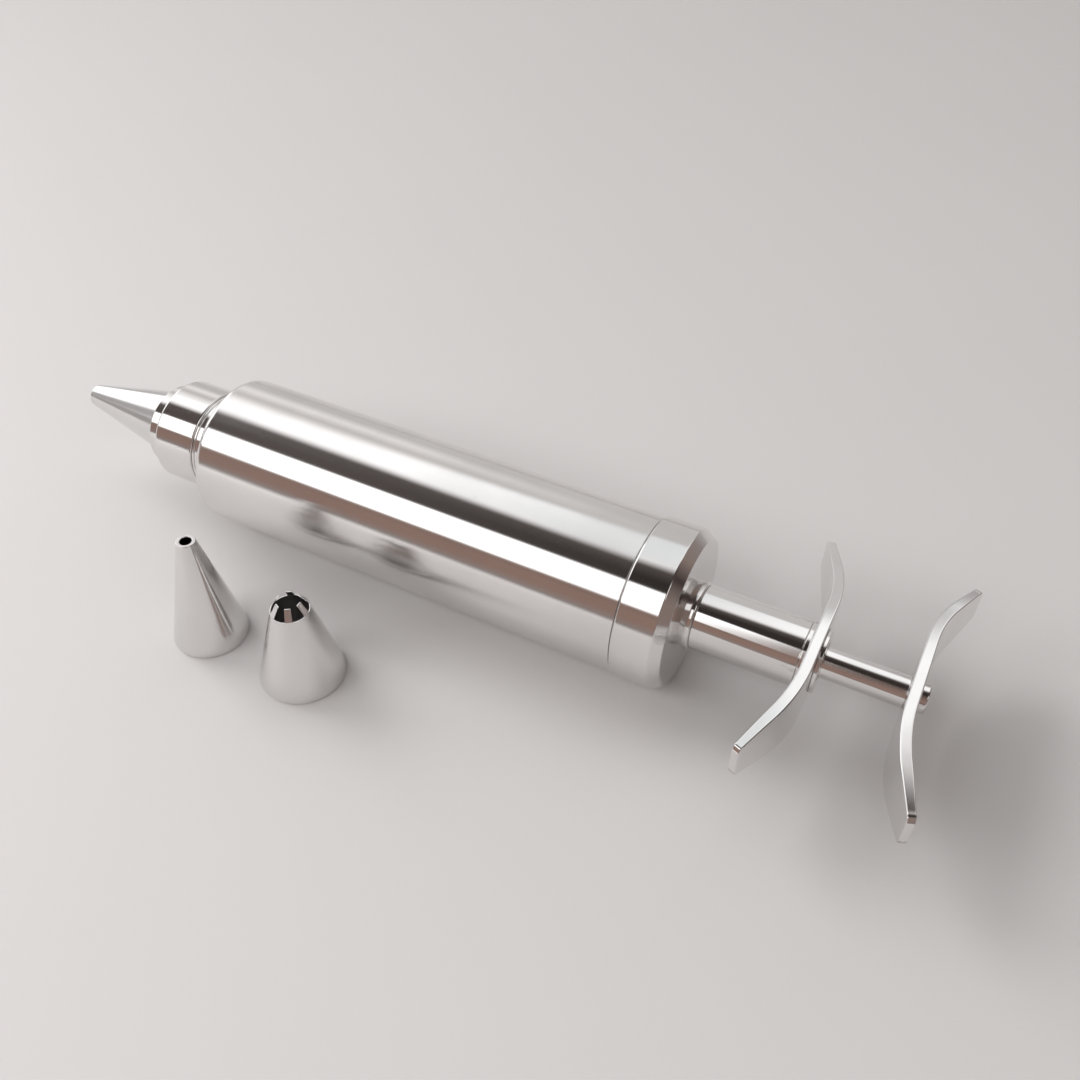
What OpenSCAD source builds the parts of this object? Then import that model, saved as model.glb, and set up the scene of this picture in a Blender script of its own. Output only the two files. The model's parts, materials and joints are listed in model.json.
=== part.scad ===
// Syringe-type cookie press with a screw-on nozzle, a screw-on rear cap,
// a plunger and two spare nozzles. Millimetres. The press lies along +X:
// the centre of the nozzle outlet is the origin, the thumb rest is at the far end,
// and +Z is up. Pieces are grouped from the nozzle backwards.

/* [Barrel] */
// Outer radius of the barrel
barrel_r = 18; // [16:0.5:20]
// Wall thickness of the barrel
barrel_wall = 1.6; // [1.4:0.1:1.8]
// Distance from the nozzle outlet to the front face of the barrel
barrel_front = 48.4; // [48:0.1:49]
// Distance from the nozzle outlet to the seam between barrel and rear cap
seam_at = 158.8; // [150:0.1:165]
// Radius of the rounded front edge of the barrel
front_fillet = 2; // [1.6:0.1:2.2]

/* [Nozzles] */
// Outer radius of the mounted nozzle at its tip
tip_r = 2.9; // [2.7:0.1:3.1]
// Radius of the outlet bore in the mounted nozzle
outlet_r = 2; // [1.6:0.1:2.2]
// Length of the straight land behind each round outlet
land_len = 2; // [1.5:0.1:2.5]
// Length of the mounted nozzle
nozzle_len = 33; // [32:0.2:33.4]
// Outer radius of the mounted nozzle at its base
nozzle_base_r = 9.6; // [9.4:0.1:9.7]
// Wall thickness of the nozzles
nozzle_wall = 0.6; // [0.5:0.1:1]
// Base radius of the spare plain nozzle
plain_base_r = 8.7; // [8:0.1:9.6]
// Height of the spare plain nozzle
plain_h = 28.8; // [26:0.2:32]
// Base radius of the spare star nozzle
star_base_r = 9.8; // [9:0.1:10.4]
// Height of the star nozzle up to the roots of its teeth
star_h = 20.4; // [18:0.2:24]
// Number of teeth on the star nozzle
star_teeth = 6; // [6:2:10]

/* [Coupling nut] */
// Outer radius of the coupling nut
nut_r = 12.75; // [12.5:0.05:13.2]
// Radius of the raised lip around the nozzle
lip_r = 10.4; // [9.9:0.1:10.6]

/* [Rear cap and sleeve] */
// Outer radius of the rear cap
cap_r = 18.5; // [18.3:0.1:20]
// Length of the rear cap
cap_len = 11.2; // [11:0.1:12.5]
// Outer radius of the guide sleeve
sleeve_r = 7.3; // [7:0.1:8]
// Length of the guide sleeve between its base ring and the grip
sleeve_len = 22.8; // [18:0.2:30]

/* [Grip and thumb rest] */
// Half the width of the grip and the thumb rest, tip to axis
wing_half = 32.5; // [28:0.5:38]
// Half height of a wing plate at the axis
wing_mid_h = 8; // [7.6:0.1:9]
// Half height of a wing plate at its ends
wing_end_h = 4; // [3:0.1:5]
// Plate thickness at the axis
wing_t = 2.4; // [2:0.1:2.6]
// Plate thickness at the ends
wing_end_t = 1.6; // [1:0.1:2]
// Angle that each arm is bent by
wing_angle = 21; // [12:1:28]

/* [Plunger] */
// Radius of the plunger rod
rod_r = 3.42; // [3.2:0.02:3.6]
// Rod length showing between the grip and the thumb rest
rod_showing = 17.3; // [16.2:0.1:30]
// Distance from the nozzle outlet to the back of the piston
piston_back = 76.5; // [76.5:0.5:90]

/* [Hidden] */
$fn = 96;
running = 0.08;         // radial clearance of a running fit
thread_gap = 0.1;       // radial clearance of the screwed fits
eps = 0.01;

floor_z = -cap_r;
barrel_in = barrel_r - barrel_wall;
front_wall = 2.1;

// threaded neck and coupling nut
neck_r = 12.3;
neck_spigot_r = 10;
neck_ring_r = neck_r + 0.2;
neck_ring_len = 0.7;
thread_r = 11.3;
neck_bore = 8.6;
thread_front = nozzle_len + 1.2;
nut_lip_front = 27.6;
nut_front = 31.4;
nut_back = 43.1;
neck_step = nut_back + 0.1 + neck_ring_len;
nut_fillet = 0.9;
seat_gap = 0.1;
cone_slope = (nozzle_base_r - tip_r) / nozzle_len;

// rear cap
spigot_r = barrel_r - 0.7;
spigot_end = seam_at + 5.7;
cap_back = seam_at + cap_len;
cap_chamfer_x = 2.3;
cap_chamfer_r = 1.8;
cap_gasket_t = 1;
cap_step = spigot_end + cap_gasket_t;
cap_plate_front = cap_back - 1.8;
cap_bowl_r = 14.6;

// guide sleeve, bushes and grip stack
ring_len = 2.5;
ring_r = sleeve_r + 0.45;
sleeve_front = cap_back + ring_len;
sleeve_back = sleeve_front + sleeve_len;
spigot_small = 5.5;
sleeve_bore = 4.1;
spigot_front = cap_plate_front - 3.6;
grip_ring_len = 1;
grip_front = sleeve_back + grip_ring_len;
grip_back = grip_front + wing_t;
grip_nut_back = grip_back + 0.9;
rear_spigot_r = 4.7;
bush_in = rod_r + running;

// plunger
thumb_front = grip_nut_back + rod_showing;
thumb_back = thumb_front + wing_t;
thumb_nut_len = 1.8;
spindle_r = 2.2;
disc_t = 2;
seal_t = 6;
piston_front = piston_back - 2 * disc_t - seal_t;
piston_r = barrel_in - 0.4;
seal_r = barrel_in - 0.05;

// wing plates
wing_flat = 9;
wing_bend_r = 38;
wing_corner = 1.2;
wing_step = wing_angle / 16;
wing_steps = 20;
wing_bend_end = [wing_bend_r * (1 - cos(wing_angle)), wing_flat + wing_bend_r * sin(wing_angle)];
wing_reach = wing_half - wing_bend_end[1] + wing_end_t;
wing_tip = wing_bend_end + wing_reach * [tan(wing_angle), 1];
wing_arc_r = (wing_half * wing_half + pow(wing_mid_h - wing_end_h, 2))
  / (2 * (wing_mid_h - wing_end_h));

// Half height of the leaf outline at a distance y from its middle
function wing_edge(y) = sqrt(wing_arc_r * wing_arc_r - y * y) - wing_arc_r + wing_mid_h;

// places of the spare nozzles
plain_at = [68.4, -40.9];
star_at = [94.6, -40.8];
star_tooth_w = 1.6;
star_tip_r = 2.7;
star_root_r = 4.3;
star_rise = 2.6;
star_turn = 4;          // turn of the crown about its own axis

// ---- shared shapes ----

// Turns a half section about the press axis: section x is the radius, section y is the distance along +X.
module turned() { rotate([0, 90, 0]) rotate_extrude() children(); }

// Half section of a plain ring
module band(r_in, r_out, from, to) {
  translate([r_in, from]) square([r_out - r_in, to - from]);
}

// Corner that is taken off a half section to round its edge: side 1 rounds towards +X
module round_off(r, at, radius, side) {
  translate([r - radius, at - side * radius])
    difference() {
      translate([0, side > 0 ? 0 : -radius - eps]) square([radius + eps, radius + eps]);
      circle(radius);
    }
}

// Corner that is taken off a half section to bevel its edge
module bevel_off(r, at, depth, length, side) {
  polygon([[r - depth, at + side * eps], [r + eps, at + side * eps], [r + eps, at - side * length],
           [r, at - side * length], [r - depth, at]]);
}

// A turned ring with both outer edges bevelled
module bevelled_ring(r_in, r_out, from, to, bevel) {
  turned()
    difference() {
      band(r_in, r_out, from, to);
      bevel_off(r_out, from, bevel, bevel, -1);
      bevel_off(r_out, to, bevel, bevel, 1);
    }
}

// Half section of a nozzle shell that opens from its outlet, at 0, to its base, at len
module nozzle_section(tip, base, bore, len) {
  polygon([[bore, 0], [tip, 0], [base, len], [base - nozzle_wall, len], [bore, land_len]]);
}

// Points of one face of the bent strip, from the middle outwards, offset from its middle line
function wing_face(offset, end_offset) =
  concat(
    [[-offset, 0]],
    [for (a = [0:wing_step:wing_angle])
      [wing_bend_r - (wing_bend_r + offset) * cos(a), wing_flat + (wing_bend_r + offset) * sin(a)]],
    [wing_tip + end_offset * [-cos(wing_angle), sin(wing_angle)]]
  );

// Points reversed and mirrored in y
function mirrored(points) = [for (i = [len(points) - 1:-1:0]) [points[i][0], -points[i][1]]];

// Bent strip that a wing plate shows from above
module wing_plan() {
  hollow = wing_face(-wing_t / 2, -wing_end_t / 2);
  bulge = wing_face(wing_t / 2, wing_end_t / 2);
  ordered = concat(mirrored(hollow), hollow);
  polygon(concat(ordered, [for (p = mirrored(bulge)) [p[0], -p[1]]], [for (p = bulge) [p[0], -p[1]]]));
}

// Leaf outline of a wing plate seen along the press axis
module wing_outline() {
  inner = wing_half - wing_corner;
  corner_z = wing_edge(inner) - wing_corner;
  quarter = concat(
    [for (a = [0:15:75]) [inner + wing_corner * cos(a), corner_z + wing_corner * sin(a)]],
    [for (i = [wing_steps:-1:0]) [inner * i / wing_steps, wing_edge(inner * i / wing_steps)]]
  );
  top = concat(quarter, [for (i = [len(quarter) - 2:-1:0]) [-quarter[i][0], quarter[i][1]]]);
  polygon(concat(top, [for (i = [len(top) - 1:-1:0]) [top[i][0], -top[i][1]]]));
}

// Wing plate with its middle at the origin, its arms bent towards +X and a hole for its stem
module wing_plate(hole_r) {
  difference() {
    intersection() {
      translate([0, 0, -wing_mid_h - 1])
        linear_extrude(2 * wing_mid_h + 2) wing_plan();
      translate([-wing_t, 0, 0])
        rotate([90, 0, 90]) linear_extrude(3 * wing_half) wing_outline();
    }
    translate([-wing_t, 0, 0]) rotate([0, 90, 0]) cylinder(h = 2 * wing_t, r = hole_r);
  }
}

// A turned nut with a hexagonal outside
module hex_nut(r_in, across, from, to) {
  difference() {
    translate([from, 0, 0]) rotate([0, 90, 0])
      cylinder(h = to - from, r = across / sqrt(3), $fn = 6);
    translate([from - 1, 0, 0]) rotate([0, 90, 0]) cylinder(h = to - from + 2, r = r_in);
  }
}

// ---- front end ----

module mounted_nozzle() {
  color("silver") turned() nozzle_section(tip_r, nozzle_base_r, outlet_r, nozzle_len);
}

module nozzle_gasket() {
  color("whitesmoke") turned() band(neck_bore, nozzle_base_r + 0.2, nozzle_len, thread_front);
}

module coupling_nut() {
  seat_front = tip_r + cone_slope * nut_lip_front + seat_gap;
  seat_back = tip_r + cone_slope * nozzle_len + seat_gap;
  thread_in = thread_r + thread_gap;
  color("silver")
    turned()
      difference() {
        union() {
          band(seat_front, lip_r, nut_lip_front, nut_front + 1);
          difference() {
            band(seat_front, nut_r, nut_front, nut_back);
            round_off(nut_r, nut_front, nut_fillet, -1);
            bevel_off(nut_r, nut_back, 0.35, 0.7, 1);
          }
        }
        bevel_off(lip_r, nut_lip_front, 0.3, 0.3, -1);
        polygon([[0, nut_lip_front - 1], [seat_front - cone_slope, nut_lip_front - 1],
                 [seat_back, nozzle_len], [seat_back, nozzle_len + eps], [0, nozzle_len + eps]]);
        band(0, thread_in, nozzle_len, nut_back + 1);
      }
}

// ---- barrel ----

module barrel() {
  color("silver")
    turned()
      difference() {
        union() {
          difference() {
            band(neck_bore, barrel_r, barrel_front, seam_at);
            round_off(barrel_r, barrel_front, front_fillet, -1);
          }
          band(barrel_in - 0.5, spigot_r, seam_at - 1, spigot_end);
        }
        band(0, barrel_in, barrel_front + front_wall, spigot_end + 1);
        band(0, neck_spigot_r, barrel_front - 1, barrel_front + front_wall + 1);
      }
}

module threaded_neck() {
  color("silver")
    turned()
      difference() {
        union() {
          band(neck_bore, thread_r, thread_front, barrel_front);
          band(neck_bore, neck_r, neck_step, barrel_front);
          band(neck_bore, neck_spigot_r, barrel_front - eps, barrel_front + front_wall);
        }
        bevel_off(thread_r, thread_front, 0.4, 0.4, -1);
      }
}

module neck_ring() {
  color("gainsboro") turned() band(thread_r, neck_ring_r, nut_back + 0.1, neck_step);
}

// ---- rear cap, sleeve and finger grip ----

module cap_gasket() {
  color("whitesmoke") turned() band(cap_bowl_r, spigot_r - 0.1, spigot_end, cap_step);
}

module rear_cap() {
  color("silver")
    turned()
      difference() {
        band(spigot_small, cap_r, seam_at + 0.15, cap_back);
        bevel_off(cap_r, cap_back, cap_chamfer_r, cap_chamfer_x, 1);
        bevel_off(cap_r, seam_at + 0.15, 0.2, 0.2, -1);
        band(0, spigot_r + thread_gap, seam_at - 1, cap_step);
        band(0, cap_bowl_r, seam_at - 1, cap_plate_front);
      }
}

module sleeve_base_ring() {
  color("silver") bevelled_ring(spigot_small, ring_r, cap_back, sleeve_front, 0.5);
}

module guide_sleeve() {
  color("silver")
    turned()
      union() {
        band(sleeve_bore, spigot_small, spigot_front, sleeve_front + eps);
        difference() {
          band(sleeve_bore, sleeve_r, sleeve_front, sleeve_back);
          bevel_off(sleeve_r, sleeve_back, 0.2, 0.2, 1);
        }
        band(sleeve_bore, rear_spigot_r, sleeve_back - eps, grip_nut_back);
      }
}

module sleeve_lock_nut() {
  color("silver") hex_nut(spigot_small, 17, cap_plate_front - 2.8, cap_plate_front);
}

module front_bush() {
  color("ivory") turned() band(bush_in, sleeve_bore, spigot_front, spigot_front + 8);
}

module rear_bush() {
  color("ivory") turned() band(bush_in, sleeve_bore, grip_nut_back - 8, grip_nut_back);
}

module grip_front_ring() {
  color("silver") bevelled_ring(rear_spigot_r, sleeve_r + 0.1, sleeve_back, grip_front, 0.25);
}

module finger_grip() {
  color("silver")
    translate([grip_front + wing_t / 2, 0, 0]) mirror([1, 0, 0]) wing_plate(rear_spigot_r);
}

module grip_nut() {
  color("silver") bevelled_ring(rear_spigot_r, sleeve_r - 0.2, grip_back, grip_nut_back, 0.2);
}

// ---- plunger ----

module piston_nut() {
  color("silver") hex_nut(spindle_r, 7, piston_front - 4, piston_front - 0.8);
}

module piston_washer() {
  color("gainsboro") turned() band(spindle_r, 4.4, piston_front - 0.8, piston_front - 0.05);
}

module piston_front_disc() {
  color("silver")
    bevelled_ring(spindle_r + 0.05, piston_r, piston_front, piston_front + disc_t, 0.4);
}

module piston_seal() {
  lip = 1.1;
  groove_from = piston_front + disc_t + 1.8;
  color("whitesmoke")
    turned()
      difference() {
        band(spindle_r + 0.05, seal_r, piston_front + disc_t, piston_back - disc_t);
        band(seal_r - lip, seal_r + 1, groove_from, groove_from + seal_t - 3.6);
      }
}

module piston_rear_disc() {
  color("silver") bevelled_ring(spindle_r + 0.05, piston_r, piston_back - disc_t, piston_back, 0.4);
}

module plunger_rod() {
  color("silver")
    turned()
      union() {
        band(0, spindle_r, piston_front - 4.6, piston_back + 1);
        band(0, rod_r, piston_back + 0.05, thumb_front);
        band(0, spindle_r, thumb_front - 1, thumb_back + 0.6);
      }
}

module thumb_rest() {
  color("silver") translate([thumb_front + wing_t / 2, 0, 0]) wing_plate(spindle_r);
}

module thumb_nut() {
  knob_r = rod_r - 0.25;
  color("silver")
    turned()
      difference() {
        band(0, knob_r, thumb_back, thumb_back + thumb_nut_len);
        round_off(knob_r, thumb_back + thumb_nut_len, 0.5, 1);
        band(-1, spindle_r, thumb_back - 1, thumb_back + 0.6);
      }
}

// ---- spare nozzles, standing on the surface that the press lies on ----

module spare_plain_nozzle() {
  plain_tip_r = 2.1;
  plain_bore = 1.3;
  color("silver")
    translate([plain_at[0], plain_at[1], floor_z + plain_h])
      mirror([0, 0, 1])
        rotate_extrude()
          difference() {
            nozzle_section(plain_tip_r, plain_base_r, plain_bore, plain_h);
            round_off(plain_tip_r, 0, 0.4, -1);
          }
}

module spare_star_nozzle() {
  crown_h = star_h + star_rise;
  color("silver")
    translate([star_at[0], star_at[1], floor_z]) {
      rotate_extrude()
        polygon([[star_base_r, 0], [star_root_r, star_h], [star_root_r - nozzle_wall, star_h],
                 [star_base_r - nozzle_wall, 0]]);
      intersection() {
        rotate_extrude()
          polygon([[star_root_r, star_h - 0.4], [star_root_r, star_h], [star_tip_r, crown_h],
                   [star_tip_r - 0.5, crown_h - 0.3], [star_root_r - nozzle_wall, star_h - 0.4]]);
        for (i = [0:star_teeth / 2 - 1])
          rotate([0, 0, star_turn + i * 360 / star_teeth])
            translate([-star_base_r, -star_tooth_w / 2, 0])
              cube([2 * star_base_r, star_tooth_w, crown_h + 1]);
      }
    }
}

mounted_nozzle();
nozzle_gasket();
coupling_nut();
barrel();
threaded_neck();
neck_ring();
cap_gasket();
rear_cap();
sleeve_base_ring();
guide_sleeve();
sleeve_lock_nut();
front_bush();
rear_bush();
grip_front_ring();
finger_grip();
grip_nut();
piston_nut();
piston_washer();
piston_front_disc();
piston_seal();
piston_rear_disc();
plunger_rod();
thumb_rest();
thumb_nut();
spare_plain_nozzle();
spare_star_nozzle();
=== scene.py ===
"""Cookie press with two spare nozzles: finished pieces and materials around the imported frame.

Lengths in this script are millimetres until a mesh is made. X runs back along the press, Z is up.
"""

import functools
import json
import math

import bpy
from mathutils import Matrix, Vector


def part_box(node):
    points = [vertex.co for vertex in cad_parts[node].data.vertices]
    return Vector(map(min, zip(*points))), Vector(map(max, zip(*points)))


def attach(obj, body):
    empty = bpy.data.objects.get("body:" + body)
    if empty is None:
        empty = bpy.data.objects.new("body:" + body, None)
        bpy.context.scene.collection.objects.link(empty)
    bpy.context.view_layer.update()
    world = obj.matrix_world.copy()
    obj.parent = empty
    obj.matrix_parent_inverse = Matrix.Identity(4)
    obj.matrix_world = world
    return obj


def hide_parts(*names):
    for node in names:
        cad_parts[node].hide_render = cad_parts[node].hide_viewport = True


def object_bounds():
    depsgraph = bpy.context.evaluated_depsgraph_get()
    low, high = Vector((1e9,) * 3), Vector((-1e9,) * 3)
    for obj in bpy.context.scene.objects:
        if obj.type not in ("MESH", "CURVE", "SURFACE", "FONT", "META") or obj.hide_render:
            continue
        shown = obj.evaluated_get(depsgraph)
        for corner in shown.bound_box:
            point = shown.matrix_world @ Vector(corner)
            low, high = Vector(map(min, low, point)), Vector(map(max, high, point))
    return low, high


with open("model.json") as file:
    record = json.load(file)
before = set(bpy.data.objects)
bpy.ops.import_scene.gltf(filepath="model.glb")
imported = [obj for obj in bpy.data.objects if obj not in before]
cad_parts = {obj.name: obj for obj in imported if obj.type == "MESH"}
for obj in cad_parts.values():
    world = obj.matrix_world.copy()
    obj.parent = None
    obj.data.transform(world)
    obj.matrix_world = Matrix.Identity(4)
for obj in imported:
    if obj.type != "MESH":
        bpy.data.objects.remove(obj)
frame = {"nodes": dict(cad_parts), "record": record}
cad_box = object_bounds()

MM = 0.001
AROUND = 256  # facets round every turned piece
NODES = frame["nodes"]


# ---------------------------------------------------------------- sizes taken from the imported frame


def extent(node):
    """Lowest and highest corner of a CAD node, in millimetres."""
    lo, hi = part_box(node)
    return Vector(lo) / MM, Vector(hi) / MM


def front_back(node):
    lo, hi = extent(node)
    return lo.x, hi.x


def radius_of(node):
    lo, hi = extent(node)
    return (hi.z - lo.z) / 2


BODY_OF = {
    node: body for body, nodes in frame["record"]["behaviour"]["bodies"].items() for node in nodes
}
SLOT_OF = {part["node"]: part["material_slot"] for part in frame["record"]["subparts"]}


# ---------------------------------------------------------------- mesh helpers


def new_piece(name, verts, faces, normals=None):
    """A smooth mesh object from points in millimetres, with its exact normals where they are known."""
    mesh = bpy.data.meshes.new(name)
    mesh.from_pydata([tuple(c * MM for c in v) for v in verts], [], faces)
    mesh.polygons.foreach_set("use_smooth", [True] * len(mesh.polygons))
    mesh.update()
    if normals:
        mesh.normals_split_custom_set_from_vertices(normals)
    piece = bpy.data.objects.new(name, mesh)
    bpy.context.scene.collection.objects.link(piece)
    return piece


def rounded_section(corners, closed=True, step=math.radians(10)):
    """Points and outward normals round a section whose corners are (along, radius, rounding)."""
    pts = [Vector((a, r)) for a, r, _ in corners]
    count = len(pts)
    area = sum(p.x * q.y - q.x * p.y for p, q in zip(pts, pts[1:] + pts[:1]))
    side = 1 if area > 0 else -1
    out = []
    for i, (point, (_, _, rounding)) in enumerate(zip(pts, corners)):
        if not closed and i in (0, count - 1):
            other = pts[1] if i == 0 else pts[count - 2]
            way = (other - point).normalized() * (1 if i == 0 else -1)
            out.append((point, Vector((way.y, -way.x)) * side))
            continue
        before, after = pts[i - 1], pts[(i + 1) % count]
        d1, d2 = (point - before).normalized(), (after - point).normalized()
        n1 = Vector((d1.y, -d1.x)) * side
        turn = d1.x * d2.y - d1.y * d2.x
        angle = math.acos(max(-1.0, min(1.0, d1.dot(d2))))
        if angle < 1e-4:
            out.append((point, n1))
            continue
        room = 0.49 * min((point - before).length, (after - point).length)
        rounding = min(max(rounding, 0.02), room / math.tan(angle / 2))
        reach = rounding * math.tan(angle / 2)
        bulges = turn * side > 0
        centre = point - d1 * reach - n1 * rounding * (1 if bulges else -1)
        steps = max(2, math.ceil(angle / step))
        for k in range(steps + 1):
            a = math.copysign(angle * k / steps, turn)
            c, s = math.cos(a), math.sin(a)
            n = Vector((n1.x * c - n1.y * s, n1.x * s + n1.y * c))
            out.append((centre + n * rounding * (1 if bulges else -1), n))
    return out


def subdivided(section, closed, longest):
    """The same section with extra points where two neighbours are far apart."""
    out = []
    count = len(section)
    for i, (point, normal) in enumerate(section):
        out.append((point, normal))
        if i == count - 1 and not closed:
            break
        after, after_normal = section[(i + 1) % count]
        parts = math.ceil((after - point).length / longest)
        for k in range(1, parts):
            out.append((point.lerp(after, k / parts), normal.lerp(after_normal, k / parts).normalized()))
    return out


def place_along_x(along, radial, phi):
    return (along, radial * math.cos(phi), radial * math.sin(phi))


def lathe(name, corners, closed=True, place=place_along_x, turn=place_along_x, around=AROUND,
          longest=8.0):
    """Turns a section about an axis. place maps (along, radius, angle) to a point, turn a normal."""
    section = subdivided(rounded_section(corners, closed), closed, longest)
    verts, normals, rings = [], [], []
    for point, normal in section:
        if point.y < 1e-6:
            rings.append([len(verts)])
            verts.append(place(point.x, 0, 0))
            normals.append(turn(math.copysign(1, normal.x), 0, 0))
            continue
        rings.append(list(range(len(verts), len(verts) + around)))
        for k in range(around):
            phi = math.tau * k / around
            verts.append(place(point.x, point.y, phi))
            normals.append(turn(normal.x, normal.y, phi))
    faces = []
    pairs = list(zip(rings, rings[1:])) + ([(rings[-1], rings[0])] if closed else [])
    for a, b in pairs:
        for k in range(around):
            m = (k + 1) % around
            if len(a) == 1 and len(b) == 1:
                continue
            if len(a) == 1:
                faces.append((a[0], b[k], b[m]))
            elif len(b) == 1:
                faces.append((a[k], b[0], a[m]))
            else:
                faces.append((a[k], b[k], b[m], a[m]))
    one = faces[len(faces) // 2]
    p = [Vector(verts[i]) for i in one]
    facing = (p[1] - p[0]).cross(p[2] - p[0])
    if facing.dot(Vector(normals[one[0]]) + Vector(normals[one[1]])) < 0:
        faces = [tuple(reversed(f)) for f in faces]
    return new_piece(name, verts, faces, normals)


def finish_piece(piece, node):
    """The piece stands for its CAD node and rides on its body."""
    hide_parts(node)
    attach(piece, BODY_OF[node])
    return piece


def rounded_bar(name, stations, corner, corner_steps=4, across=6):
    """A closed bar with rounded edges. Each station is (centre, u, v, half_u, half_v)."""
    verts, rings = [], []
    ends = [i * math.pi / 2 / corner_steps for i in range(corner_steps + 1)]

    def ring(centre, u, v, hu, hv, edge):
        edge = min(edge, hu * 0.95, hv * 0.95)
        rings.append(len(verts))
        for quadrant, (su, sv) in enumerate(((1, 1), (-1, 1), (-1, -1), (1, -1))):
            cu, cv = su * (hu - edge), sv * (hv - edge)
            for k in range(corner_steps + 1):
                a = quadrant * math.pi / 2 + ends[k]
                verts.append(centre + u * (cu + edge * math.cos(a)) + v * (cv + edge * math.sin(a)))
            nu, nv = ((-1, 1), (-1, -1), (1, -1), (1, 1))[quadrant]
            start = Vector((cu + edge * math.cos(a), cv + edge * math.sin(a)))
            stop_c = Vector((nu * (hu - edge), nv * (hv - edge)))
            stop = stop_c + Vector((math.cos(a), math.sin(a))) * edge
            for k in range(1, across):
                q = start.lerp(stop, k / across)
                verts.append(centre + u * q.x + v * q.y)

    first, last = stations[0], stations[-1]
    along_first = (stations[1][0] - first[0]).normalized()
    along_last = (last[0] - stations[-2][0]).normalized()
    for a in reversed(ends):
        inset = corner * (1 - math.cos(a))
        shift = corner * math.sin(a)
        c, u, v, hu, hv = first
        if a > 0:
            ring(c + along_first * (corner - shift), u, v, hu - inset, hv - inset, corner - inset * 0.9)
    for c, u, v, hu, hv in stations:
        inside_first = (c - first[0]).dot(along_first) >= corner - 1e-6
        inside_last = (last[0] - c).dot(along_last) >= corner - 1e-6
        if inside_first and inside_last:
            ring(c, u, v, hu, hv, corner)
    for a in ends:
        inset = corner * (1 - math.cos(a))
        shift = corner * math.sin(a)
        c, u, v, hu, hv = last
        if a > 0:
            ring(c - along_last * (corner - shift), u, v, hu - inset, hv - inset, corner - inset * 0.9)
    size = rings[1] - rings[0]
    faces = []
    for a, b in zip(rings, rings[1:]):
        for k in range(size):
            m = (k + 1) % size
            faces.append((a + k, a + m, b + m, b + k))
    faces.append(tuple(reversed(range(rings[0], rings[0] + size))))
    faces.append(tuple(range(rings[-1], rings[-1] + size)))
    p = [Vector(verts[i]) for i in faces[0]]
    facing = (p[1] - p[0]).cross(p[2] - p[0])
    if facing.dot(p[0] - stations[len(stations) // 2][0]) < 0 and len(stations) > 2:
        middle = faces[len(faces) // 2]
        q = [Vector(verts[i]) for i in middle]
        if (q[1] - q[0]).cross(q[2] - q[0]).dot((q[0] + q[2]) / 2 - stations[len(stations) // 2][0]) < 0:
            faces = [tuple(reversed(f)) for f in faces]
    return new_piece(name, verts, faces)


def weighted(piece):
    """Flat faces stay flat and only the rounded edges shade round."""
    mod = piece.modifiers.new("even_normals", "WEIGHTED_NORMAL")
    mod.mode = "FACE_AREA"
    mod.weight = 100
    mod.keep_sharp = False
    return piece


def drill(piece, radius, x_from, x_to):
    """Cuts a round hole on the press axis and keeps the result as the piece's mesh."""
    cutter = lathe("cutter", [(x_from, 0, 0), (x_from, radius, 0), (x_to, radius, 0), (x_to, 0, 0)],
                   closed=False, around=96)
    mod = piece.modifiers.new("hole", "BOOLEAN")
    mod.operation = "DIFFERENCE"
    mod.solver = "EXACT"
    mod.object = cutter
    bpy.context.view_layer.update()
    graph = bpy.context.evaluated_depsgraph_get()
    cut = bpy.data.meshes.new_from_object(piece.evaluated_get(graph))
    piece.modifiers.clear()
    piece.data = cut
    bpy.data.objects.remove(cutter)
    return piece


# ---------------------------------------------------------------- node helpers


def plain_colour(level, warmth=0.0):
    """A colour by its brightness and how far it leans to red-brown or, below nought, to blue."""
    return (level * (1 + warmth), level, level * (1 - warmth / 3), 1.0)


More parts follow.
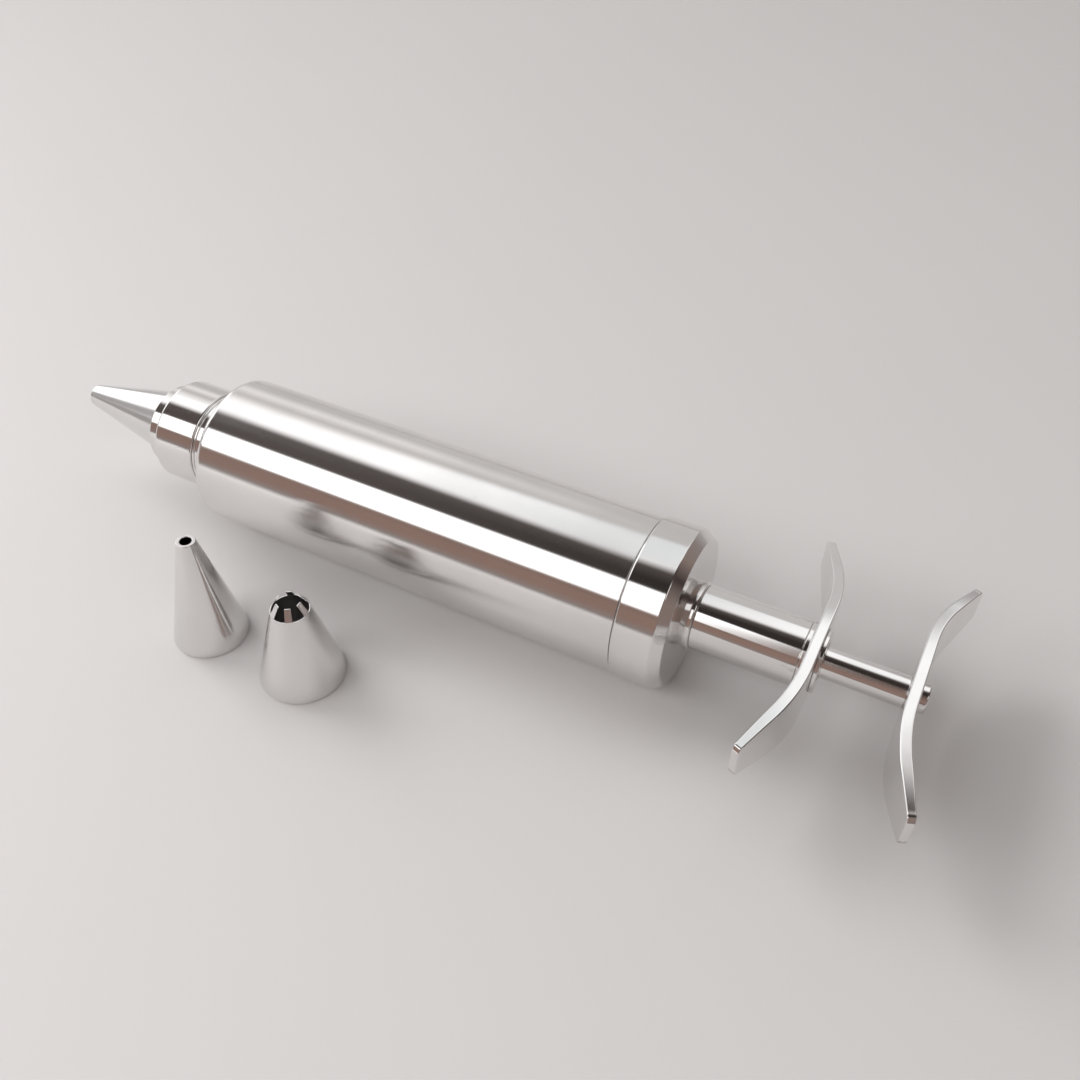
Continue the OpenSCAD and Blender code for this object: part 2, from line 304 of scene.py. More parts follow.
class Graph:
    """Short calls for building a node tree."""

    def __init__(self, tree):
        self.tree = tree
        tree.nodes.clear()

    def node(self, kind, **props):
        made = self.tree.nodes.new(kind)
        for key, value in props.items():
            setattr(made, key, value)
        return made

    def put(self, socket, value):
        if isinstance(value, bpy.types.NodeSocket):
            self.tree.links.new(value, socket)
        elif value is not None:
            socket.default_value = value

    def math(self, operation, a, b=None):
        made = self.node("ShaderNodeMath", operation=operation)
        for socket, value in zip(made.inputs, (a, b)):
            self.put(socket, value)
        return made.outputs[0]

    def add(self, *values):
        return functools.reduce(lambda a, b: self.math("ADD", a, b), values)

    def times(self, *values):
        return functools.reduce(lambda a, b: self.math("MULTIPLY", a, b), values)

    def ramp(self, fac, stops):
        made = self.node("ShaderNodeValToRGB")
        elements = made.color_ramp.elements
        while len(elements) > 1:
            elements.remove(elements[-1])
        elements[0].position, elements[0].color = stops[0]
        for at, colour in stops[1:]:
            elements.new(at).color = colour
        self.put(made.inputs[0], fac)
        return made.outputs[0]

    def rise(self, value, start, end):
        """0 below start, 1 above end, smooth between; start may be the larger one."""
        made = self.node("ShaderNodeMapRange", interpolation_type="SMOOTHSTEP")
        self.put(made.inputs["Value"], value)
        self.put(made.inputs["From Min"], start)
        self.put(made.inputs["From Max"], end)
        return made.outputs[0]

    def spread(self, value, low, high, from_low=0.0, from_high=1.0):
        made = self.node("ShaderNodeMapRange", clamp=True)
        self.put(made.inputs["Value"], value)
        self.put(made.inputs["From Min"], from_low)
        self.put(made.inputs["From Max"], from_high)
        self.put(made.inputs["To Min"], low)
        self.put(made.inputs["To Max"], high)
        return made.outputs[0]

    def mix(self, fac, a, b):
        made = self.node("ShaderNodeMix", data_type="RGBA")
        self.put(made.inputs[0], fac)
        self.put(made.inputs[6], a)
        self.put(made.inputs[7], b)
        return made.outputs[2]

    def noise(self, vector, scale, detail=2.0, rough=0.5):
        made = self.node("ShaderNodeTexNoise")
        self.put(made.inputs["Vector"], vector)
        self.put(made.inputs["Scale"], scale)
        self.put(made.inputs["Detail"], detail)
        self.put(made.inputs["Roughness"], rough)
        return made.outputs[0]

    def join(self, x, y, z):
        made = self.node("ShaderNodeCombineXYZ")
        for socket, value in zip(made.inputs, (x, y, z)):
            self.put(socket, value)
        return made.outputs[0]

    def split(self, vector):
        made = self.node("ShaderNodeSeparateXYZ")
        self.put(made.inputs[0], vector)
        return made.outputs

    def bump(self, height, distance, strength=1.0, normal=None):
        made = self.node("ShaderNodeBump")
        self.put(made.inputs["Height"], height)
        self.put(made.inputs["Distance"], distance)
        self.put(made.inputs["Strength"], strength)
        if normal is not None:
            self.put(made.inputs["Normal"], normal)
        return made.outputs[0]


def material(name):
    made = bpy.data.materials.new(name)
    made.use_nodes = True
    graph = Graph(made.node_tree)
    out = graph.node("ShaderNodeOutputMaterial")
    shader = graph.node("ShaderNodeBsdfPrincipled")
    graph.tree.links.new(shader.outputs[0], out.inputs[0])
    return made, graph, shader


# ---------------------------------------------------------------- materials


MARK_DEPTH, HAIR_DEPTH, GRAIN_DEPTH, SCRATCH_DEPTH, PORE_DEPTH = 3.5e-7, 6e-7, 9e-7, 1e-6, 1e-5


def shaded(colour, share):
    """The same colour at a share of its brightness."""
    return tuple(c * share for c in colour[:3]) + (1.0,)


def turned_steel(name, colour, rough_low, rough_high, axis="X", centre=(0.0, 0.0), mark_height=1.0,
                 anisotropic=0.85):
    """Steel turned about an axis: rings of fine marks, hair scratches and soft polishing haze."""
    made, g, shader = material(name)
    where = g.node("ShaderNodeTexCoord").outputs["Object"]
    x, y, z = g.split(where)
    if axis == "X":
        along, p, q = x, y, z
    else:
        along, p, q = z, g.math("SUBTRACT", x, centre[0]), g.math("SUBTRACT", y, centre[1])
    angle = g.math("ARCTAN2", q, p)
    radial = g.math("SQRT", g.add(g.times(p, p), g.times(q, q)))
    # a mark is a ring: it varies along the section and hardly at all round the axis
    travel = g.add(along, radial)
    rings = g.noise(g.join(g.times(travel, 2600.0), g.times(angle, 0.6), 0.0), 1.0, 3.0, 0.6)
    slow = g.noise(g.join(g.times(travel, 160.0), g.times(angle, 1.2), 4.0), 1.0, 2.0, 0.5)
    hair = g.noise(g.join(g.times(travel, 900.0), g.times(angle, 7.0), 9.0), 1.0, 4.0, 0.7)
    hair_line = g.rise(hair, 0.62, 0.70)
    haze = g.noise(where, 55.0, 4.0, 0.6)
    spots = g.noise(where, 420.0, 3.0, 0.6)
    height = g.add(g.times(rings, 0.55), g.times(slow, 1.6))
    bumped = g.bump(height, MARK_DEPTH * mark_height)
    bumped = g.bump(hair_line, -HAIR_DEPTH, 0.7, bumped)
    shader.inputs["Metallic"].default_value = 1.0
    shader.inputs["Anisotropic"].default_value = anisotropic
    shader.inputs["Anisotropic Rotation"].default_value = 0.25
    tangent = g.node("ShaderNodeTangent", direction_type="RADIAL", axis=axis)
    g.put(shader.inputs["Tangent"], tangent.outputs[0])
    rough = g.spread(haze, rough_low, rough_high, 0.3, 0.75)
    g.put(shader.inputs["Roughness"], g.add(rough, g.times(rings, 0.02), g.times(hair_line, 0.05)))
    tone = g.mix(g.rise(haze, 0.3, 0.8), colour, shaded(colour, 0.93))
    tone = g.mix(g.times(g.rise(spots, 0.68, 0.8), 0.25), tone, shaded(colour, 0.8))
    g.put(shader.inputs["Base Color"], tone)
    g.put(shader.inputs["Normal"], bumped)
    return made


def pressed_steel(name, colour, rough_low, rough_high):
    """Plate steel with a fine grain along its length and light scratches."""
    made, g, shader = material(name)
    where = g.node("ShaderNodeTexCoord").outputs["Object"]
    x, y, z = g.split(where)
    grain = g.noise(g.join(g.times(x, 900.0), g.times(y, 110.0), g.times(z, 2400.0)), 1.0, 3.0, 0.6)
    scratch = g.noise(g.join(g.times(x, 400.0), g.times(y, 320.0), g.times(z, 900.0)), 1.0, 5.0, 0.75)
    scratch_line = g.rise(scratch, 0.63, 0.70)
    haze = g.noise(where, 70.0, 4.0, 0.6)
    bumped = g.bump(grain, GRAIN_DEPTH)
    bumped = g.bump(scratch_line, -SCRATCH_DEPTH, 0.8, bumped)
    shader.inputs["Metallic"].default_value = 1.0
    rough = g.spread(haze, rough_low, rough_high, 0.3, 0.75)
    g.put(shader.inputs["Roughness"], g.add(rough, g.times(grain, 0.05), g.times(scratch_line, 0.08)))
    tone = g.mix(g.rise(haze, 0.3, 0.8), colour, shaded(colour, 0.94))
    g.put(shader.inputs["Base Color"], tone)
    g.put(shader.inputs["Normal"], bumped)
    return made


def moulded(name, colour, shade, rough, subsurface):
    """Moulded silicone or nylon: cloudy colour and fine pores."""
    made, g, shader = material(name)
    where = g.node("ShaderNodeTexCoord").outputs["Object"]
    cloud = g.noise(where, 180.0, 4.0, 0.6)
    pores = g.noise(where, 3500.0, 2.0, 0.5)
    g.put(shader.inputs["Base Color"], g.mix(g.rise(cloud, 0.3, 0.75), colour, shade))
    g.put(shader.inputs["Roughness"], g.spread(cloud, rough - 0.06, rough + 0.08, 0.3, 0.75))
    g.put(shader.inputs["Normal"], g.bump(pores, PORE_DEPTH))
    shader.inputs["Subsurface Weight"].default_value = subsurface
    shader.inputs["Subsurface Radius"].default_value = (0.001, 0.0009, 0.0008)
    return made


STEEL = (0.80, 0.785, 0.775, 1.0)
SPUN = (0.80, 0.79, 0.785, 1.0)
PLATE = (0.82, 0.81, 0.805, 1.0)
plain_lo, plain_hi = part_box("spare_plain_nozzle")
star_lo, star_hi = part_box("spare_star_nozzle")
plain_centre = ((plain_lo.x + plain_hi.x) / 2, (plain_lo.y + plain_hi.y) / 2)
star_centre = ((star_lo.x + star_hi.x) / 2, (star_lo.y + star_hi.y) / 2)

polished = turned_steel("polished_steel", STEEL, 0.075, 0.105, anisotropic=0.7)
barrel_steel = turned_steel("barrel_steel", STEEL, 0.115, 0.14, anisotropic=0.95)
spun = turned_steel("spun_steel", SPUN, 0.09, 0.13, mark_height=1.5)
spun_plain = turned_steel("spun_steel_plain", SPUN, 0.10, 0.16, "Z", plain_centre, 1.5)
spun_star = turned_steel("spun_steel_star", SPUN, 0.10, 0.16, "Z", star_centre, 1.5)
satin = pressed_steel("satin_steel", PLATE, 0.07, 0.11)
silicone = moulded("silicone", (0.72, 0.71, 0.68, 1), (0.62, 0.61, 0.58, 1), 0.5, 0.25)
nylon = moulded("nylon", (0.78, 0.75, 0.66, 1), (0.70, 0.67, 0.58, 1), 0.4, 0.15)
MATERIAL_OF = {
    "polished_steel": polished, "satin_steel": satin, "spun_steel": spun,
    "silicone": silicone, "nylon": nylon,
}

for node, thing in NODES.items():
    thing.data.materials.clear()
    thing.data.materials.append(MATERIAL_OF[SLOT_OF[node]])


def dress(piece, finish):
    piece.data.materials.clear()
    piece.data.materials.append(finish)
    return piece


# ---------------------------------------------------------------- turned pieces on the press axis

tip_x, nozzle_back = front_back("mounted_nozzle")
nozzle_r = radius_of("mounted_nozzle")
TIP_R, OUTLET_R, LAND, SHEET = 2.9, 2.0, 2.0, 0.6
dress(finish_piece(lathe("nozzle_shell", [
    (tip_x, OUTLET_R, 0.12), (tip_x, TIP_R, 0.15), (nozzle_back, nozzle_r, 0.15),
    (nozzle_back, nozzle_r - SHEET, 0.1), (LAND, OUTLET_R, 0.2)]), "mounted_nozzle"), spun)

nut_front, nut_back = front_back("coupling_nut")
nut_r = radius_of("coupling_nut")
LIP_R, LIP_LEN, NUT_FILLET, SEAT_GAP, NECK_THREAD_R = 10.4, 3.8, 0.9, 0.1, 11.4
slope = (nozzle_r - TIP_R) / (nozzle_back - tip_x)
dress(finish_piece(lathe("nut_body", [
    (nut_front, TIP_R + slope * nut_front + SEAT_GAP, 0.1), (nut_front, LIP_R, 0.35),
    (nut_front + LIP_LEN, LIP_R, 0.03), (nut_front + LIP_LEN, nut_r, NUT_FILLET), (nut_back, nut_r, 0.5),
    (nut_back, NECK_THREAD_R, 0.15), (nozzle_back, NECK_THREAD_R, 0.1),
    (nozzle_back, nozzle_r + SEAT_GAP, 0.1)]), "coupling_nut"), polished)

barrel_front, spigot_end = front_back("barrel")
barrel_r = radius_of("barrel")
cap_front, cap_back = front_back("rear_cap")
SEAM_GAP = 0.15
seam = cap_front - SEAM_GAP
BORE_R, SPIGOT_R, FRONT_WALL, NECK_SPIGOT_R, BARREL_FILLET = 16.4, 17.3, 2.1, 10.0, 2.0
dress(finish_piece(lathe("barrel_tube", [
    (barrel_front, NECK_SPIGOT_R, 0.03), (barrel_front, barrel_r, BARREL_FILLET), (seam, barrel_r, 0.2),
    (seam, SPIGOT_R, 0.05), (spigot_end, SPIGOT_R, 0.3), (spigot_end, BORE_R, 0.2),
    (barrel_front + FRONT_WALL, BORE_R, 0.3),
    (barrel_front + FRONT_WALL, NECK_SPIGOT_R, 0.03)]), "barrel"), barrel_steel)

neck_front, neck_back = front_back("threaded_neck")
ring_front, ring_back = front_back("neck_ring")
NECK_R, THREAD_R, NECK_BORE = 12.3, 11.3, 8.6
dress(finish_piece(lathe("neck_tube", [
    (neck_front, NECK_BORE, 0.2), (neck_front, THREAD_R, 0.4), (ring_back, THREAD_R, 0.03),
    (ring_back, NECK_R, 0.15), (barrel_front, NECK_R, 0.03), (barrel_front, NECK_SPIGOT_R, 0.03),
    (neck_back, NECK_SPIGOT_R, 0.1), (neck_back, NECK_BORE, 0.2)]), "threaded_neck"), polished)
dress(finish_piece(lathe("neck_seal", [
    (ring_front, THREAD_R, 0.05), (ring_front, radius_of("neck_ring"), 0.3),
    (ring_back, radius_of("neck_ring"), 0.3), (ring_back, THREAD_R, 0.05)]), "neck_ring"), polished)

cap_r = radius_of("rear_cap")
CAP_BEVEL_X, CAP_BEVEL_R, BOWL_R, STEM_R, CAP_PLATE = 2.3, 1.8, 14.6, 5.5, 1.8
GASKET_T, THREAD_GAP = 1.0, 0.1
dress(finish_piece(lathe("cap_body", [
    (cap_front, SPIGOT_R + THREAD_GAP, 0.1), (cap_front, cap_r, 0.5),
    (cap_back - CAP_BEVEL_X, cap_r, 0.5),
    (cap_back, cap_r - CAP_BEVEL_R, 0.3), (cap_back, STEM_R, 0.03), (cap_back - CAP_PLATE, STEM_R, 0.03),
    (cap_back - CAP_PLATE, BOWL_R, 0.6), (spigot_end + GASKET_T, BOWL_R, 0.1),
    (spigot_end + GASKET_T, SPIGOT_R + THREAD_GAP, 0.1)]), "rear_cap"), polished)

sleeve_front, sleeve_back = front_back("sleeve_base_ring")[1], front_back("grip_front_ring")[0]
foot_r = radius_of("sleeve_base_ring")
FOOT_BEAD = 1.3
dress(finish_piece(lathe("sleeve_ring", [
    (cap_back, STEM_R, 0.03), (cap_back, foot_r - 0.5, 0.03), (cap_back + FOOT_BEAD, foot_r, 1.2),
    (sleeve_front, foot_r, 0.5), (sleeve_front, STEM_R, 0.03)]), "sleeve_base_ring"), polished)

stem_front, stem_back = front_back("guide_sleeve")
SLEEVE_BORE, REAR_STEM_R = 4.1, 4.7
sleeve_r = radius_of("guide_sleeve")
dress(finish_piece(lathe("sleeve_tube", [
    (stem_front, SLEEVE_BORE, 0.15), (stem_front, STEM_R, 0.3), (sleeve_front, STEM_R, 0.03),
    (sleeve_front, sleeve_r, 0.2), (sleeve_back, sleeve_r, 0.25), (sleeve_back, REAR_STEM_R, 0.03),
    (stem_back, REAR_STEM_R, 0.2), (stem_back, SLEEVE_BORE, 0.15)]), "guide_sleeve"), polished)

for piece_name, node in (("grip_ring", "grip_front_ring"), ("grip_collar", "grip_nut")):
    x0, x1 = front_back(node)
    outer = radius_of(node)
    ring = lathe(piece_name, [
        (x0, REAR_STEM_R, 0.03), (x0, outer, 0.2), (x1, outer, 0.2), (x1, REAR_STEM_R, 0.1)])
    dress(finish_piece(ring, node), polished)

rod_front, rod_back = front_back("plunger_rod")
rod_r = radius_of("plunger_rod")
WING_T, SPINDLE_R = 2.4, 2.2
thumb_front = front_back("thumb_nut")[0] - WING_T
rod_step = front_back("piston_rear_disc")[1] + 0.05
dress(finish_piece(lathe("rod_bar", [
    (rod_front, 0, 0), (rod_front, SPINDLE_R, 0.4), (rod_step, SPINDLE_R, 0.03), (rod_step, rod_r, 0.3),
    (thumb_front, rod_r, 0.12), (thumb_front, SPINDLE_R, 0.03),
    (rod_back, SPINDLE_R, 0.2), (rod_back, 0, 0)], closed=False), "plunger_rod"), polished)
nut_x0, nut_x1 = front_back("thumb_nut")
knob_r = radius_of("thumb_nut")
KNOB_HOLE = 0.6
dress(finish_piece(lathe("thumb_knob", [
    (nut_x0 + KNOB_HOLE, 0, 0), (nut_x0 + KNOB_HOLE, SPINDLE_R, 0.03), (nut_x0, SPINDLE_R, 0.03),
    (nut_x0, knob_r, 0.1), (nut_x1, knob_r, 0.5), (nut_x1, 0, 0)], closed=False), "thumb_nut"), polished)


# ---------------------------------------------------------------- bent wing plates

WING_FLAT, WING_BEND_R, WING_ANGLE = 9.0, 38.0, math.radians(21)
WING_HALF, WING_MID_H, WING_END_H, WING_CORNER, WING_EDGE = 32.5, 8.0, 4.0, 1.2, 0.25
WING_END_T = 1.6
WING_ARC = (WING_HALF ** 2 + (WING_MID_H - WING_END_H) ** 2) / (2 * (WING_MID_H - WING_END_H))
BEND_END = Vector((WING_BEND_R * (1 - math.cos(WING_ANGLE)),
                   WING_FLAT + WING_BEND_R * math.sin(WING_ANGLE)))


def wing_edge(y):
    """Half height of the leaf outline at a distance from its middle."""
    inner = WING_HALF - WING_CORNER
    leaf = math.sqrt(WING_ARC ** 2 - y * y) - WING_ARC + WING_MID_H
    if y <= inner:
        return leaf
    corner_z = math.sqrt(WING_ARC ** 2 - inner ** 2) - WING_ARC + WING_MID_H - WING_CORNER
    return corner_z + math.sqrt(max(0.0, WING_CORNER ** 2 - (y - inner) ** 2))


def wing_station(y):
    """Middle of the strip, its normal in plan and its half thickness, at a distance from the axis."""
    if y <= WING_FLAT:
        return Vector((0, y)), Vector((1, 0)), WING_T / 2
    if y <= BEND_END.y:
        a = math.asin((y - WING_FLAT) / WING_BEND_R)
        middle = Vector((WING_BEND_R * (1 - math.cos(a)), y))
        return middle, Vector((math.cos(a), -math.sin(a))), WING_T / 2
    x = BEND_END.x + (y - BEND_END.y) * math.tan(WING_ANGLE)
    share = (y - BEND_END.y) / (WING_HALF + WING_END_T - BEND_END.y)
    half = (WING_T + (WING_END_T - WING_T) * share) / 2
    return Vector((x, y)), Vector((math.cos(WING_ANGLE), -math.sin(WING_ANGLE))), half


def wing_plate(name, x_mid, way, hole_r):
    """A leaf-shaped plate whose arms bend towards way (+1 back, -1 front) along the press axis."""
    ys = [WING_HALF - WING_CORNER * (1 - math.cos(math.radians(a))) for a in range(90, 0, -15)]
    inner = WING_HALF - WING_CORNER
    spaced = [inner * k / 44 for k in range(45)]
    half = spaced[:-1] + ys + [WING_HALF]
    tip_share = 1 - WING_END_T / 2 * math.sin(WING_ANGLE) / WING_HALF
    stations = []
    for y in [-v for v in reversed(half[1:])] + half:
        mid, normal, thick = wing_station(abs(y) * tip_share)
        side = 1 if y >= 0 else -1
        centre = Vector((x_mid + way * mid.x, side * mid.y, 0))
        u = Vector((way * normal.x, side * normal.y, 0))
        stations.append((centre, u, Vector((0, 0, 1)), thick, wing_edge(abs(y))))
    plate = rounded_bar(name, stations, WING_EDGE, 4, 10)
    return weighted(drill(plate, hole_r, x_mid - 2 * WING_T, x_mid + 2 * WING_T))


grip_back = front_back("grip_nut")[0]
grip_plate = wing_plate("grip_plate", grip_back - WING_T / 2, -1, REAR_STEM_R)
dress(finish_piece(grip_plate, "finger_grip"), satin)
thumb_plate = wing_plate("thumb_plate", thumb_front + WING_T / 2, 1, SPINDLE_R)
dress(finish_piece(thumb_plate, "thumb_rest"), satin)


# ---------------------------------------------------------------- spare nozzles

floor_z = cad_box[0][2] / MM


def upright(centre):
    """Places for a lathe whose axis stands up at a centre."""
    def place(along, radial, phi):
        return (centre[0] / MM + radial * math.cos(phi), centre[1] / MM + radial * math.sin(phi), along)

    def turn(along, radial, phi):
        return (radial * math.cos(phi), radial * math.sin(phi), along)

    return {"place": place, "turn": turn}


plain_top = plain_hi.z / MM
plain_r = (plain_hi.x - plain_lo.x) / 2 / MM
PLAIN_TIP_R, PLAIN_BORE = 2.1, 1.3
dress(finish_piece(lathe("plain_nozzle_shell", [
    (floor_z, plain_r - SHEET, 0.05), (floor_z, plain_r, 0.45), (plain_top, PLAIN_TIP_R, 0.15),
    (plain_top, PLAIN_BORE, 0.2), (plain_top - LAND, PLAIN_BORE, 0.3)], **upright(plain_centre)),
    "spare_plain_nozzle"), spun_plain)

star_r = (star_hi.x - star_lo.x) / 2 / MM
star_top = star_hi.z / MM
STAR_RISE, STAR_ROOT_R, STAR_TIP_R, STAR_TEETH, TOOTH_W = 2.6, 4.3, 2.7, 6, 1.6
STAR_TURN, CROWN_T = math.radians(4), 0.25
star_root = star_top - STAR_RISE
star_shell = lathe("star_nozzle_shell", [
    (floor_z, star_r - SHEET, 0.05), (floor_z, star_r, 0.45), (star_root, STAR_ROOT_R, 0.05),
    (star_root, STAR_ROOT_R - CROWN_T, 0.05)], **upright(star_centre))
dress(finish_piece(star_shell, "spare_star_nozzle"), spun_star)


def star_tooth(index):
    """One leaf of the star crown: it carries on from the rim and leans inwards to a narrow edge."""
    direction = STAR_TURN + index * math.tau / STAR_TEETH
    out = Vector((math.cos(direction), math.sin(direction), 0))
    side = Vector((-out.y, out.x, 0))
    base = Vector((star_centre[0] / MM, star_centre[1] / MM, 0))
    stations = []
    steps = 10
    for k in range(-1, steps + 1):
        t = k / steps
        z = star_root + t * STAR_RISE
        outer = STAR_ROOT_R + (STAR_TIP_R - STAR_ROOT_R) * max(t, 0) - (0.02 if k < 0 else 0)
        stations.append((base + out * (outer - CROWN_T / 2) + Vector((0, 0, z)), out, side, CROWN_T / 2,
                         TOOTH_W / 2 * (1 - 0.18 * max(t, 0))))
    return stations


for index in range(STAR_TEETH):
    tooth = weighted(rounded_bar(f"star_tooth_{index}", star_tooth(index), 0.05, 3, 4))
    dress(tooth, spun_star)
    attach(tooth, BODY_OF["spare_star_nozzle"])


# ---------------------------------------------------------------- floor and backdrop


def floor_and_backdrop():
    size = 4000.0
    floor = new_piece("floor", [(-size, -size, floor_z), (size, -size, floor_z), (size, size, floor_z),
                                (-size, size, floor_z)], [(0, 1, 2, 3)])
    made, g, shader = material("floor")
    where = g.node("ShaderNodeTexCoord").outputs["Object"]
    grain = g.noise(where, 1400.0, 3.0, 0.6)
    tone = g.noise(where, 6.0, 3.0, 0.5)
    g.put(shader.inputs["Base Color"], g.mix(tone, plain_colour(0.5, 0.02), plain_colour(0.48, 0.02)))
    shader.inputs["Roughness"].default_value = 0.6
    g.put(shader.inputs["Normal"], g.bump(grain, 0.00004, 0.4))
    dress(floor, made)
    wall, rise, sides = 3600.0, 4200.0, 96
    turns = [math.tau * k / sides for k in range(sides)]
    levels = [floor_z + rise * (1 - math.cos(math.radians(a))) for a in (0, 20, 40, 60, 75, 90)]
    verts = [(wall * math.cos(a), wall * math.sin(a), z) for z in levels for a in turns]
    starts = range(0, len(verts), sides)
    faces = [(low + k, low + (k + 1) % sides, high + (k + 1) % sides, high + k)
             for low, high in zip(starts, starts[1:]) for k in range(sides)]
    faces += [(starts[-1] + k, starts[-1] + (k + 1) % sides, len(verts)) for k in range(sides)]
    verts.append((0.0, 0.0, levels[-1]))
    backdrop = new_piece("backdrop", verts, faces)
    glow, g, shader = material("backdrop")
    shader.inputs["Base Color"].default_value = (0.0, 0.0, 0.0, 1)
    shader.inputs["Roughness"].default_value = 1.0
    shader.inputs["Specular IOR Level"].default_value = 0.0
    paper = g.noise(g.node("ShaderNodeTexCoord").outputs["Object"], 0.8, 2.0, 0.5)
    lit_paper = g.mix(paper, plain_colour(0.7, 0.03), plain_colour(0.65, 0.03))
    g.put(shader.inputs["Emission Color"], lit_paper)
    shader.inputs["Emission Strength"].default_value = 1.0
    dress(backdrop, glow)
    backdrop.visible_diffuse = False
    backdrop.visible_glossy = False
    backdrop.visible_transmission = False
    backdrop.visible_shadow = False


floor_and_backdrop()


# ---------------------------------------------------------------- light

# the studio's surfaces
PALE_WALL, LIT_WALL = plain_colour(0.6, 0.03), plain_colour(1.0, 0.02)
SHADED_WALL, GREY_WALL = plain_colour(0.6, 0.05), plain_colour(0.4, 0.05)
DARK_CEILING, DEEP_CEILING = plain_colour(0.08, 0.2), plain_colour(0.03, 0.2)
WOOD, CLAY = plain_colour(0.2, 0.5), plain_colour(0.2, 0.3)
DARK_WOOD, TABLE_EDGE = plain_colour(0.04, 0.3), plain_colour(0.25, 0.15)
LAMP, LAMP_GAP, LAMP_END = plain_colour(1.4), plain_colour(0.9, -0.03), plain_colour(1.2)
PANEL, KEY_PANEL, WINDOW = plain_colour(2.0), plain_colour(1.6), plain_colour(1.4)


def studio():
    world = bpy.data.worlds.new("studio")
    bpy.context.scene.world = world
    world.use_nodes = True
    g = Graph(world.node_tree)
    out = g.node("ShaderNodeOutputWorld")
    back = g.node("ShaderNodeBackground")
    g.tree.links.new(back.outputs[0], out.inputs[0])
    way = g.node("ShaderNodeTexCoord").outputs["Generated"]
    x, y, z = g.split(way)
    turn = g.math("DIVIDE", g.math("ARCTAN2", z, y), math.pi)
    # past the camera the room has swung a little further round
    late = g.add(g.times(g.rise(x, -0.26, -0.04), 8 / 180),
                  g.times(g.rise(x, -0.01, 0.06), 12 / 180))
    swing = g.add(turn, g.times(late, g.rise(z, 0.3, 0.9)))
    # degrees from the +Y horizon over the top to the -Y one, for the front and the back of the press
    room_front = g.ramp(swing, [(degrees / 180, surface) for degrees, surface in (
        (0, PALE_WALL), (15, PALE_WALL), (30, LIT_WALL), (45, SHADED_WALL), (60, LIT_WALL),
        (85, LIT_WALL), (95, DARK_CEILING), (125, DARK_CEILING), (160, WOOD), (170, WOOD),
        (180, TABLE_EDGE))])
    room_back = g.ramp(swing, [(degrees / 180, surface) for degrees, surface in (
        (0, PALE_WALL), (60, PALE_WALL), (85, LIT_WALL), (95, DARK_CEILING), (110, DEEP_CEILING),
        (125, DEEP_CEILING), (160, WOOD), (170, WOOD), (180, TABLE_EDGE))])
    room = g.mix(g.spread(x, 0.0, 1.0, -0.52, -0.24), room_front, room_back)
    dusk = g.times(g.rise(x, -0.02, 0.06), g.rise(swing, 0.28, 0.18))
    room = g.mix(dusk, room, GREY_WALL)
    # a dark wall behind the thumb rest and a grey one in front of the nozzle
    room = g.mix(g.rise(x, 0.30, 0.55), room, g.ramp(g.spread(y, 0.0, 1.0, -0.7, 0.9), [
        (0.0, CLAY), (0.25, CLAY), (0.5, DARK_WOOD), (0.75, CLAY), (1.0, TABLE_EDGE)]))
    room = g.mix(g.rise(x, -0.74, -0.86), room, GREY_WALL)
    # overhead softbox, in directions divided by their height
    high = g.math("MAXIMUM", z, 0.02)
    over_x, over_y = g.math("DIVIDE", x, high), g.math("DIVIDE", y, high)
    past = g.times(g.math("MAXIMUM", over_x, 0.0), 3.0)
    near_edge = g.math("MAXIMUM", g.add(g.times(over_x, 0.60), 0.20), 0.0)
    near_edge = g.add(near_edge, past)
    far_edge = g.add(g.add(g.times(over_x, 0.85), 1.28), past)
    softbox = g.times(g.rise(g.math("SUBTRACT", over_y, near_edge), -0.06, 0.19),
                     g.rise(g.math("SUBTRACT", far_edge, over_y), -0.10, 0.18))
    softbox = g.times(softbox, g.rise(over_x, -2.6, -1.6))
    softbox = g.times(softbox, g.rise(over_x, 0.65, 0.15))
    softbox = g.times(softbox, g.rise(z, 0.05, 0.2))
    # side panel behind the camera, in directions divided by their reach towards -Y
    near = g.math("MAXIMUM", g.times(y, -1.0), 0.02)
    side_x, side_z = g.math("DIVIDE", x, near), g.math("DIVIDE", z, near)
    panel = g.times(g.rise(side_z, 0.50, 0.60), g.rise(side_z, 1.75, 1.50))
    panel = g.times(panel, g.rise(side_x, -0.06, -0.30))
    panel = g.times(panel, g.rise(side_x, -2.2, -1.6))
    panel = g.times(panel, g.rise(y, 0.0, -0.05))
    # key panel in front of the nozzle, in directions divided by their reach towards -X
    front = g.math("MAXIMUM", g.times(x, -1.0), 0.02)
    key_y, key_z = g.math("DIVIDE", y, front), g.math("DIVIDE", z, front)
    key = g.times(g.rise(key_y, -0.22, -0.10), g.rise(key_y, 0.74, 0.64))
    key = g.times(key, g.times(g.rise(key_z, 0.06, 0.12), g.rise(key_z, 0.98, 0.88)))
    key = g.times(key, g.rise(x, -0.60, -0.70))
    lamp = g.ramp(g.spread(over_x, 0.0, 1.0, -1.0, 0.2), [
        (0.0, LAMP), (0.4, LAMP), (0.55, LAMP_GAP), (0.65, LAMP_GAP), (0.75, LAMP_END)])
    # a tall window high in the dark wall
    window = g.times(g.rise(x, 0.54, 0.64), g.rise(x, 0.84, 0.80))
    window = g.times(window, g.times(g.rise(turn, 0.54, 0.57), g.rise(turn, 0.72, 0.69)))
    room = g.mix(window, room, WINDOW)
    lit = g.mix(softbox, room, lamp)
    lit = g.mix(panel, lit, PANEL)
    lit = g.mix(key, lit, KEY_PANEL)
    g.put(back.inputs["Color"], lit)
    back.inputs["Strength"].default_value = 1.0


studio()


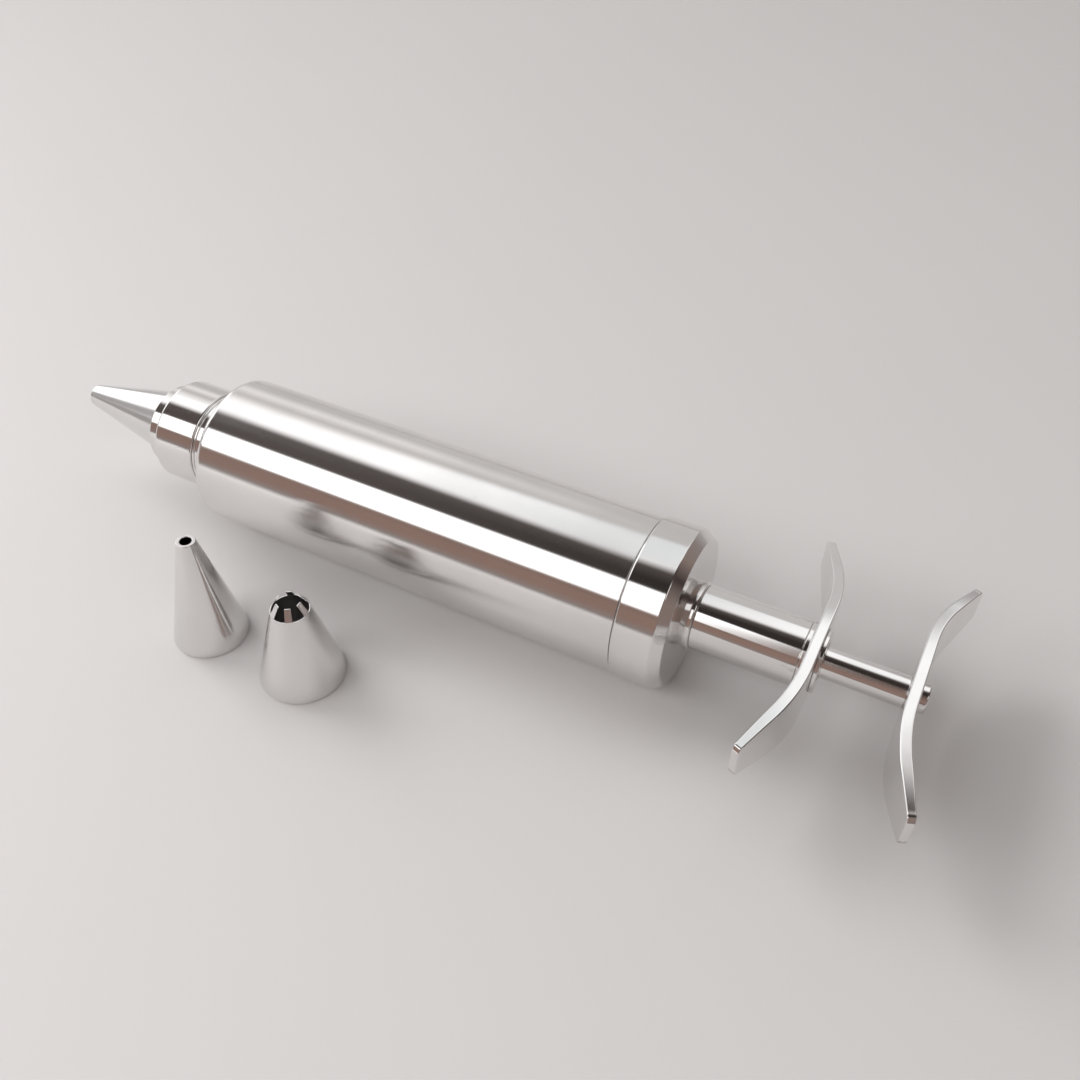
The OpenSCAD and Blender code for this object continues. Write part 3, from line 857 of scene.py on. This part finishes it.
def area_light(name, power, size, where, aim, colour, spread=180):
    data = bpy.data.lights.new(name, "AREA")
    data.shape = "RECTANGLE"
    data.size, data.size_y = size
    data.energy = power
    data.color = colour
    data.spread = math.radians(spread)
    lamp = bpy.data.objects.new(name, data)
    lamp.location = where
    lamp.rotation_euler = (Vector(aim) - Vector(where)).to_track_quat("-Z", "Y").to_euler()
    lamp.visible_glossy = False
    lamp.visible_camera = False
    bpy.context.scene.collection.objects.link(lamp)
    return lamp


centre = (Vector(cad_box[0]) + Vector(cad_box[1])) / 2
area_light("key_light", 15.3, (1.35, 1.1), centre + Vector((-1.9, 0.25, 1.25)), centre,
           (1.0, 0.99, 0.98), 120)
area_light("fill_light", 4.5, (0.9, 0.5), centre + Vector((0.05, -0.9, 0.9)), centre, (1.0, 0.99, 0.985))
area_light("wash_light", 1.7, (0.40, 0.30), centre + Vector((-0.40, -0.36, 0.34)),
           centre + Vector((-0.06, 0.0, 0.0)),
           (1.0, 0.99, 0.985))


# ---------------------------------------------------------------- camera

AZIMUTH, ELEVATION, ROLL = math.radians(26.66), math.radians(43.12), math.radians(0.951)
AIM = centre + Vector((0.01823, 0.01420, 0.0))
DISTANCE = 0.2440
forward = Vector((-math.sin(AZIMUTH) * math.cos(ELEVATION), math.cos(AZIMUTH) * math.cos(ELEVATION),
                  -math.sin(ELEVATION)))
level = Vector((math.cos(AZIMUTH), math.sin(AZIMUTH), 0))
above = level.cross(forward)
right = level * math.cos(ROLL) + above * math.sin(ROLL)
up = right.cross(forward)
lens = bpy.data.cameras.new("camera")
lens.lens = 35.13
lens.sensor_width = 36.0
lens.clip_start = 0.01
lens.clip_end = 50.0
camera = bpy.data.objects.new("camera", lens)
bpy.context.scene.collection.objects.link(camera)
rotation = Matrix((right, up, -forward)).transposed().to_4x4()
camera.matrix_world = Matrix.Translation(AIM - forward * DISTANCE) @ rotation
bpy.context.scene.camera = camera

bpy.context.scene.view_settings.view_transform = "Standard"
bpy.context.scene.view_settings.look = "None"
bpy.context.scene.cycles.use_denoising = True
